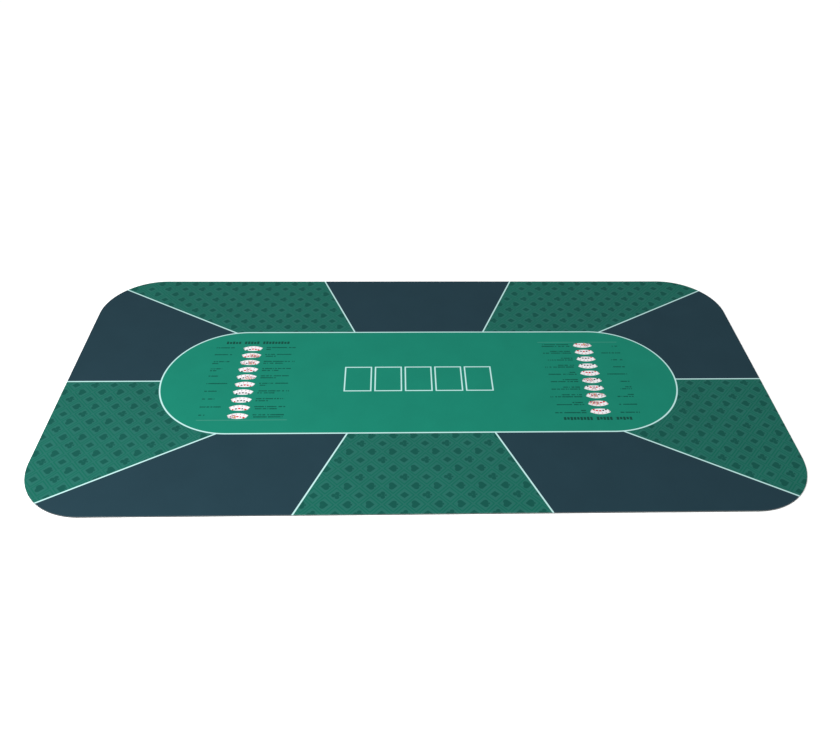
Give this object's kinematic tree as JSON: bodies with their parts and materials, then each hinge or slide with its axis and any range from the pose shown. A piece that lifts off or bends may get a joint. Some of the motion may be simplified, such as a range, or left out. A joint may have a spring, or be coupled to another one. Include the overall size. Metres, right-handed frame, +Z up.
{
  "type": "folding poker mat",
  "caption": "Flat rounded-rectangle poker table top: a printed cloth bonded to foamed rubber that folds in thirds over its middle panel.",
  "frame": {"origin": "centre of the underside, on the surface that the mat lies on", "axes": "+X along the length towards the right end, +Y towards the rear long edge, +Z up out of the printed face"},
  "size_m": [1.8, 0.9, 0.003],
  "materials": {
    "printed_cloth": "dye-printed smooth knit, greens, navy and pale lines",
    "bond_film": "thin hot-melt film, seen only at the cut edge",
    "rubber_base": "matt foamed rubber, embossed anti-slip underside"
  },
  "bodies": {
    "middle": {"rubber_middle": "rubber_base", "film_middle": "bond_film", "cloth_middle": "printed_cloth"},
    "left_flap": {"rubber_left": "rubber_base", "film_left": "bond_film", "cloth_left": "printed_cloth"},
    "right_flap": {"rubber_right": "rubber_base", "film_right": "bond_film", "cloth_right": "printed_cloth"}
  },
  "joints": [
    {"name": "left_fold", "type": "hinge", "parent": "middle", "child": "left_flap", "pos_m": [-0.3, 0, 0.0035], "axis": [0, 1, 0], "range_deg": [0, 179.98]},
    {"name": "right_fold", "type": "hinge", "parent": "middle", "child": "right_flap", "pos_m": [0.3, 0, 0.0055], "axis": [0, -1, 0], "range_deg": [0, 179.98]}
  ]
}
